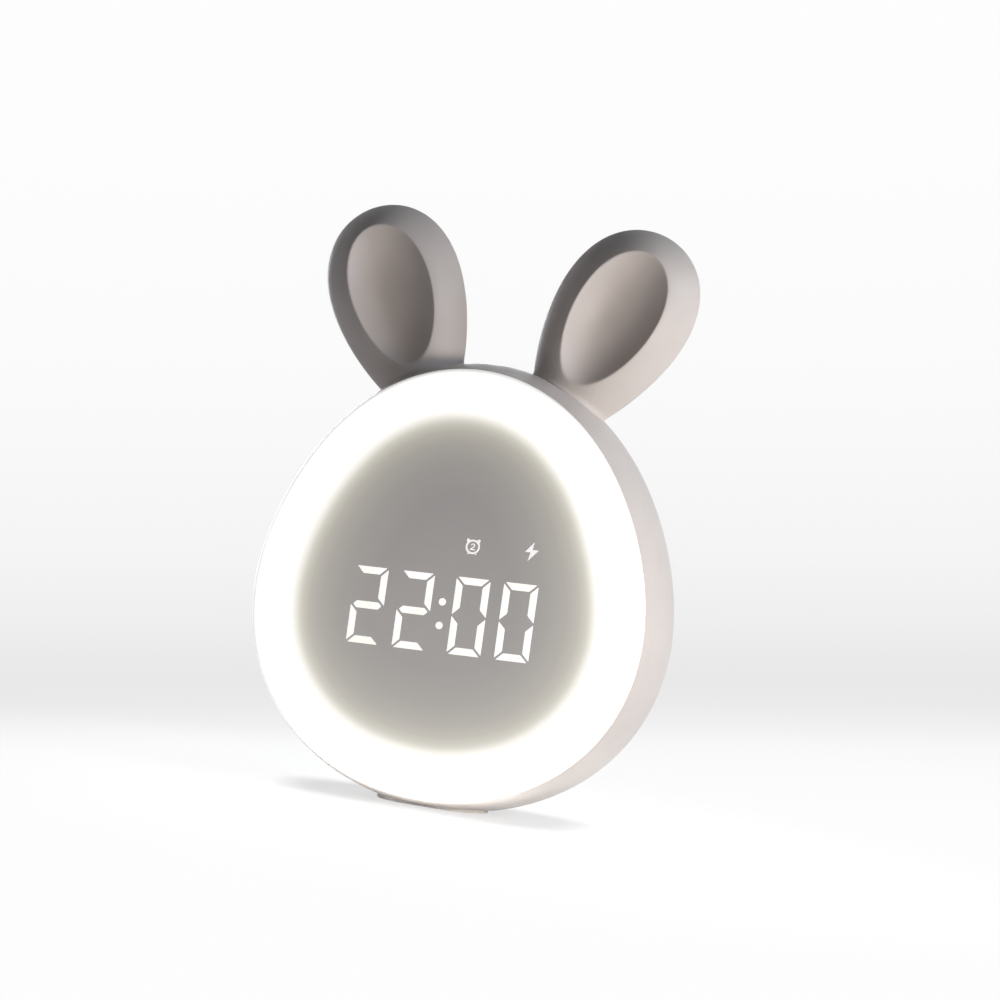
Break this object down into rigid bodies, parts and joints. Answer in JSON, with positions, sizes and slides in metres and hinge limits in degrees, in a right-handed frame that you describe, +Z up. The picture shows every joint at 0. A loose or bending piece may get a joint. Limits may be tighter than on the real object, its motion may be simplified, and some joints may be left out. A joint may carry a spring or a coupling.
{
  "type": "kids alarm clock with night light",
  "caption": "Free-standing egg-shaped bedside clock with a glowing ring, a lit digit display and two dished ears",
  "frame": {"origin": "middle of the underside of the base pad, on the standing surface", "axes": "+X to the right seen from the front, +Y to the back, +Z up"},
  "size_m": [0.1344, 0.0465, 0.1909],
  "materials": {
    "shell_white": "satin moulded",
    "panel_milky": "satin translucent",
    "film_grey": "smooth tinted film",
    "pad_soft": "matt",
    "button_white": "satin moulded",
    "inner_white": "matt moulded",
    "sheet_white": "matt film",
    "board_white": "coated laminate",
    "board_green": "coated laminate",
    "diode_yellow": "smooth",
    "chip_black": "matt",
    "socket_cream": "satin",
    "switch_black": "satin",
    "steel": "plated",
    "screw_steel": "zinc plated",
    "magnet_grey": "bare",
    "cone_black": "pressed paper",
    "gasket_black": "foam",
    "cell_blue": "shrink sleeve",
    "lead_red": "soft jacket",
    "lead_black": "soft jacket",
    "lead_white": "soft jacket",
    "ribbon_grey": "flat film"
  },
  "bodies": {
    "clock": {"front_panel": "panel_milky", "display_film": "film_grey", "front_housing": "shell_white", "rear_housing": "shell_white", "base_pad": "pad_soft", "inner_frame": "inner_white", "ring_board": "board_white", "ring_leds": "diode_yellow", "segment_block": "inner_white", "segment_diffuser": "sheet_white", "display_board": "board_green", "segment_leds": "diode_yellow", "main_board": "board_green", "control_chip": "chip_black", "lead_sockets": "socket_cream", "tact_switches": "switch_black", "usb_socket": "steel", "battery_cell": "cell_blue", "speaker_gasket": "gasket_black", "speaker_frame": "steel", "speaker_cone": "cone_black", "speaker_magnet": "magnet_grey", "speaker_bracket": "inner_white", "case_screws": "screw_steel", "frame_screws": "screw_steel", "display_screws": "screw_steel", "board_screws": "screw_steel", "bracket_screws": "screw_steel", "battery_leads": "lead_red", "speaker_leads": "lead_black", "ring_leads": "lead_white", "display_ribbon": "ribbon_grey"},
    "alarm_button_body": {"alarm_button": "button_white"},
    "light_button_body": {"light_button": "button_white"},
    "up_button_body": {"up_button": "button_white"},
    "down_button_body": {"down_button": "button_white"}
  },
  "joints": [
    {"name": "alarm_press", "type": "slide", "parent": "clock", "child": "alarm_button_body", "axis": [0, -1, 0], "range_m": [0, 0.0006], "stiffness_N_per_m": 1500},
    {"name": "light_press", "type": "slide", "parent": "clock", "child": "light_button_body", "axis": [0, -1, 0], "range_m": [0, 0.0006], "stiffness_N_per_m": 1500},
    {"name": "up_press", "type": "slide", "parent": "clock", "child": "up_button_body", "axis": [0, -1, 0], "range_m": [0, 0.0006], "stiffness_N_per_m": 1500},
    {"name": "down_press", "type": "slide", "parent": "clock", "child": "down_button_body", "axis": [0, -1, 0], "range_m": [0, 0.0006], "stiffness_N_per_m": 1500}
  ]
}
